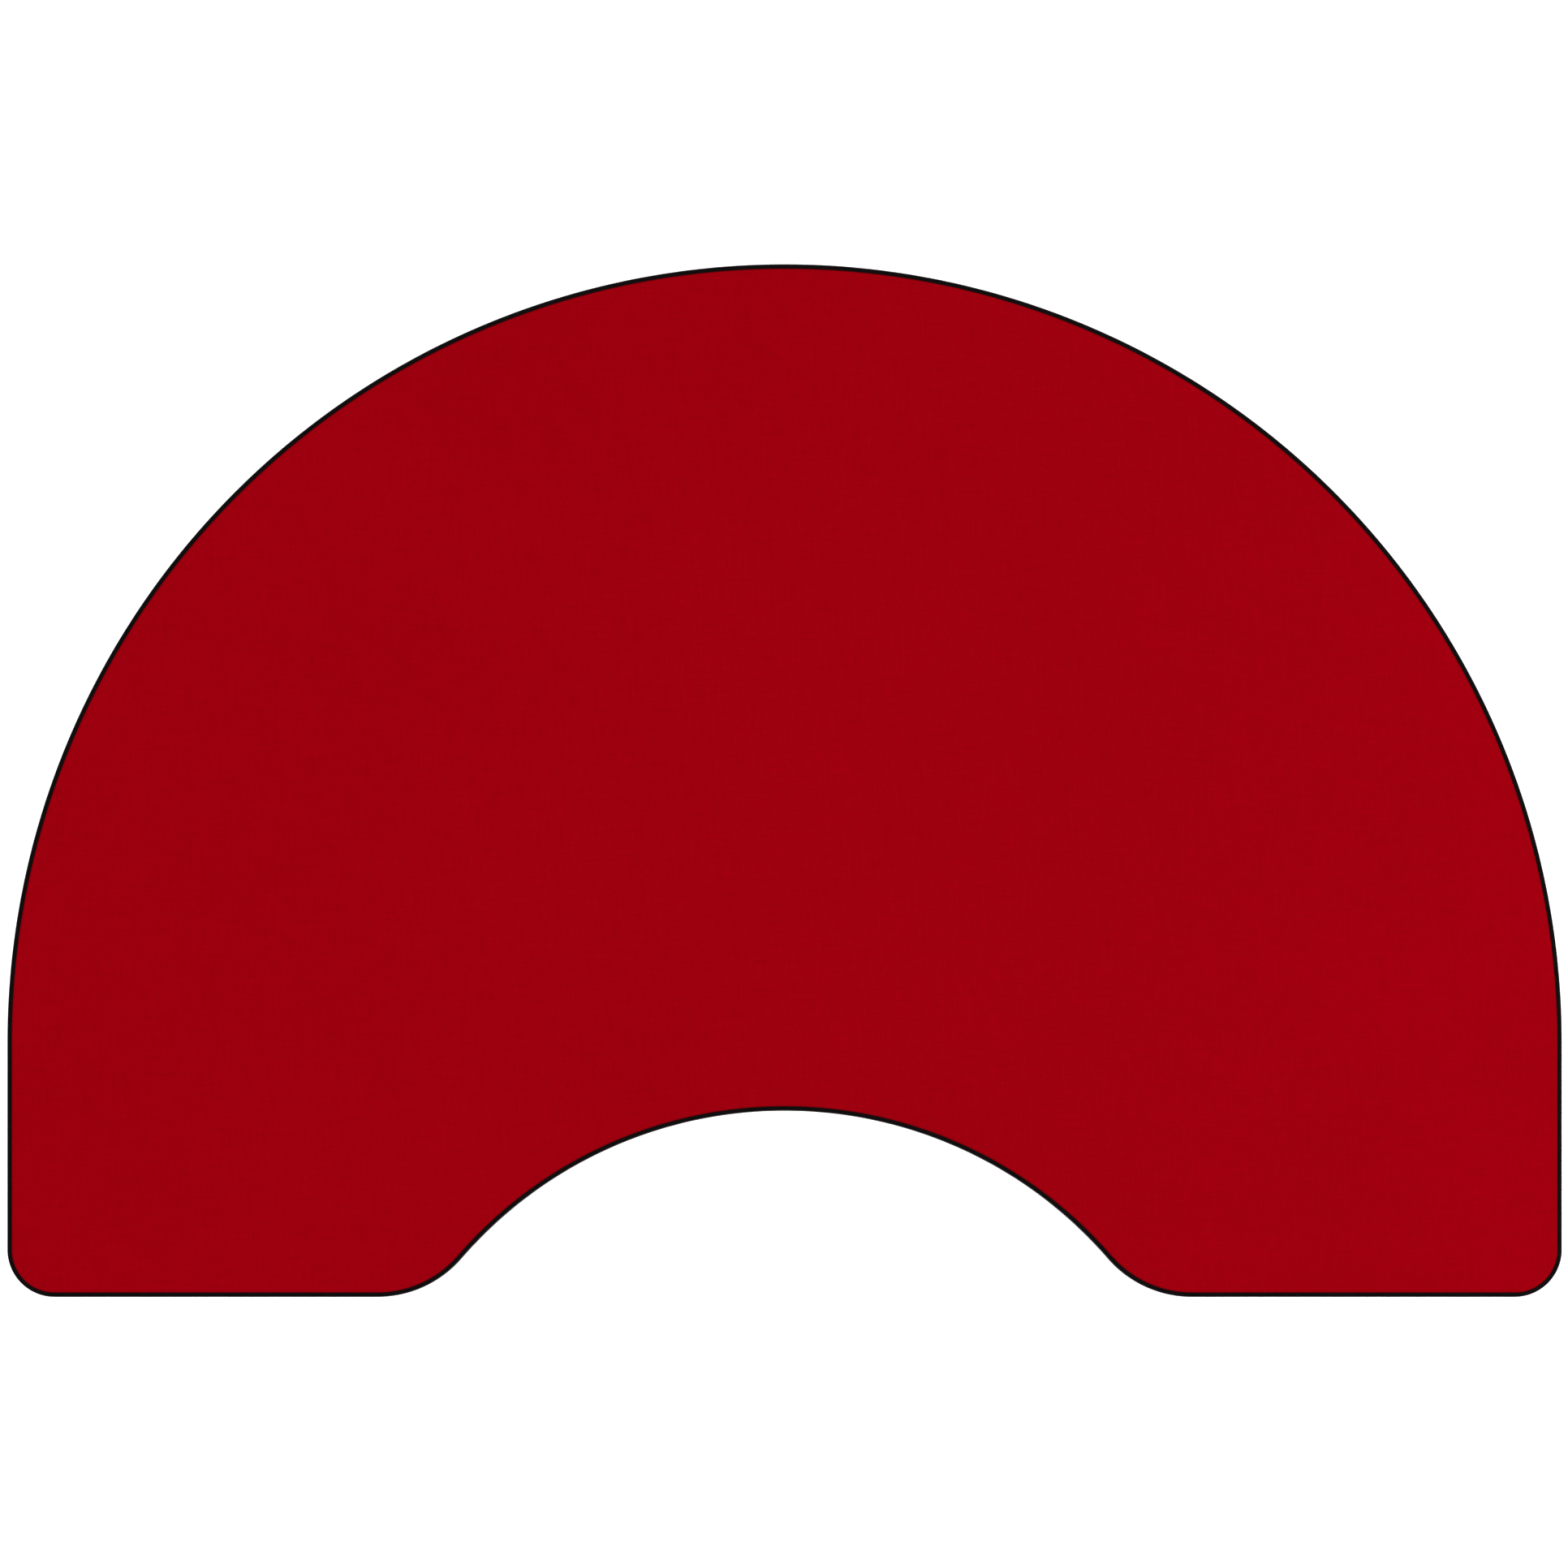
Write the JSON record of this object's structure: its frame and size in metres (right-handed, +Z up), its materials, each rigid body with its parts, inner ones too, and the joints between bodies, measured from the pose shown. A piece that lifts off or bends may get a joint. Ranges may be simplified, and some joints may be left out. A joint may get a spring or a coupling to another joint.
{
  "type": "blackjack table",
  "caption": "Half-moon card table with a plain red cloth top, black edge moulding, a dealer's bay and folding steel legs under a wooden apron.",
  "frame": {"origin": "on the floor, under the middle of the top's outline", "axes": "+X to the right of someone who stands in the dealer's bay and faces the players, +Y from the bay towards the players, +Z up"},
  "size_m": [1.829, 1.2155, 0.762],
  "materials": {
    "red_cloth": "matte, fine close weave",
    "foam": "open-cell foam",
    "black_moulding": "satin soft vinyl",
    "panel_ply": "sanded birch plywood",
    "stained_wood": "dark stain, satin varnish",
    "pine": "planed, bare",
    "black_powder_coat": "fine-textured powder coat",
    "cast_knuckle": "tumbled casting",
    "zinc_plate": "bright zinc plate",
    "black_steel": "black oxide",
    "spring_steel": "drawn wire",
    "nylon_white": "turned nylon",
    "black_nylon": "moulded, fine texture",
    "black_rubber": "matte"
  },
  "bodies": {
    "table": {"top_panel": "panel_ply", "foam_underlay": "foam", "playing_cloth": "red_cloth", "edge_moulding_rim": "black_moulding", "edge_moulding_bay": "black_moulding", "apron_rear_left": "stained_wood", "apron_rear_right": "stained_wood", "apron_side_left": "stained_wood", "apron_side_right": "stained_wood", "apron_front_left": "stained_wood", "apron_front_right": "stained_wood", "apron_dealer": "stained_wood", "centre_rail": "pine", "cross_rail_left": "pine", "cross_rail_right": "pine", "glue_blocks": "pine", "angle_brackets": "zinc_plate", "angle_bracket_screws": "zinc_plate", "leg_bracket_screws": "zinc_plate", "pivot_bolts": "black_steel", "pivot_nuts": "zinc_plate", "pivot_washers": "nylon_white", "latch_pins": "zinc_plate", "leg_bumpers": "black_rubber", "leg_bracket_front_left": "zinc_plate", "leg_bracket_front_right": "zinc_plate", "leg_bracket_rear_left": "zinc_plate", "leg_bracket_rear_right": "zinc_plate"},
    "leg_front_left": {"leg_knuckle_front_left": "cast_knuckle", "leg_tube_front_left": "black_powder_coat", "knuckle_rivets_front_left": "zinc_plate", "foot_socket_front_left": "black_nylon"},
    "foot_front_left": {"levelling_foot_front_left": "zinc_plate", "foot_pad_front_left": "black_rubber"},
    "latch_front_left": {"latch_lever_front_left": "black_steel", "latch_spring_front_left": "spring_steel"},
    "leg_front_right": {"leg_knuckle_front_right": "cast_knuckle", "leg_tube_front_right": "black_powder_coat", "knuckle_rivets_front_right": "zinc_plate", "foot_socket_front_right": "black_nylon"},
    "foot_front_right": {"levelling_foot_front_right": "zinc_plate", "foot_pad_front_right": "black_rubber"},
    "latch_front_right": {"latch_lever_front_right": "black_steel", "latch_spring_front_right": "spring_steel"},
    "leg_rear_left": {"leg_knuckle_rear_left": "cast_knuckle", "leg_tube_rear_left": "black_powder_coat", "knuckle_rivets_rear_left": "zinc_plate", "foot_socket_rear_left": "black_nylon"},
    "foot_rear_left": {"levelling_foot_rear_left": "zinc_plate", "foot_pad_rear_left": "black_rubber"},
    "latch_rear_left": {"latch_lever_rear_left": "black_steel", "latch_spring_rear_left": "spring_steel"},
    "leg_rear_right": {"leg_knuckle_rear_right": "cast_knuckle", "leg_tube_rear_right": "black_powder_coat", "knuckle_rivets_rear_right": "zinc_plate", "foot_socket_rear_right": "black_nylon"},
    "foot_rear_right": {"levelling_foot_rear_right": "zinc_plate", "foot_pad_rear_right": "black_rubber"},
    "latch_rear_right": {"latch_lever_rear_right": "black_steel", "latch_spring_rear_right": "spring_steel"}
  },
  "joints": [
    {"name": "leg_fold_front_left", "type": "hinge", "parent": "table", "child": "leg_front_left", "pos_m": [-0.7705, -0.46475, 0.713], "axis": [0.9063, -0.4226, 0], "range_deg": [0, 90]},
    {"name": "latch_front_left", "type": "hinge", "parent": "table", "child": "latch_front_left", "pos_m": [-0.78335, -0.49231, 0.70946], "axis": [0.9063, -0.4226, 0], "range_deg": [-8, 0], "stiffness_Nm_per_rad": 0.3, "springref_deg": -34.38, "deforming": ["latch_spring_front_left"]},
    {"name": "foot_level_front_left", "type": "slide", "parent": "leg_front_left", "child": "foot_front_left", "axis": [0, 0, -1], "range_m": [0, 0.012]},
    {"name": "leg_fold_front_right", "type": "hinge", "parent": "table", "child": "leg_front_right", "pos_m": [0.7705, -0.46475, 0.713], "axis": [0.9063, 0.4226, 0], "range_deg": [0, 90]},
    {"name": "latch_front_right", "type": "hinge", "parent": "table", "child": "latch_front_right", "pos_m": [0.78335, -0.49231, 0.70946], "axis": [0.9063, 0.4226, 0], "range_deg": [-8, 0], "stiffness_Nm_per_rad": 0.3, "springref_deg": -34.38, "deforming": ["latch_spring_front_right"]},
    {"name": "foot_level_front_right", "type": "slide", "parent": "leg_front_right", "child": "foot_front_right", "axis": [0, 0, -1], "range_m": [0, 0.012]},
    {"name": "leg_fold_rear_left", "type": "hinge", "parent": "table", "child": "leg_rear_left", "pos_m": [-0.42727, 0.35119, 0.713], "axis": [-0.9063, -0.4226, 0], "range_deg": [0, 90]},
    {"name": "latch_rear_left", "type": "hinge", "parent": "table", "child": "latch_rear_left", "pos_m": [-0.44012, 0.37874, 0.70946], "axis": [-0.9063, -0.4226, 0], "range_deg": [-8, 0], "stiffness_Nm_per_rad": 0.3, "springref_deg": -34.38, "deforming": ["latch_spring_rear_left"]},
    {"name": "foot_level_rear_left", "type": "slide", "parent": "leg_rear_left", "child": "foot_rear_left", "axis": [0, 0, -1], "range_m": [0, 0.012]},
    {"name": "leg_fold_rear_right", "type": "hinge", "parent": "table", "child": "leg_rear_right", "pos_m": [0.42727, 0.35119, 0.713], "axis": [-0.9063, 0.4226, 0], "range_deg": [0, 90]},
    {"name": "latch_rear_right", "type": "hinge", "parent": "table", "child": "latch_rear_right", "pos_m": [0.44012, 0.37874, 0.70946], "axis": [-0.9063, 0.4226, 0], "range_deg": [-8, 0], "stiffness_Nm_per_rad": 0.3, "springref_deg": -34.38, "deforming": ["latch_spring_rear_right"]},
    {"name": "foot_level_rear_right", "type": "slide", "parent": "leg_rear_right", "child": "foot_rear_right", "axis": [0, 0, -1], "range_m": [0, 0.012]}
  ]
}
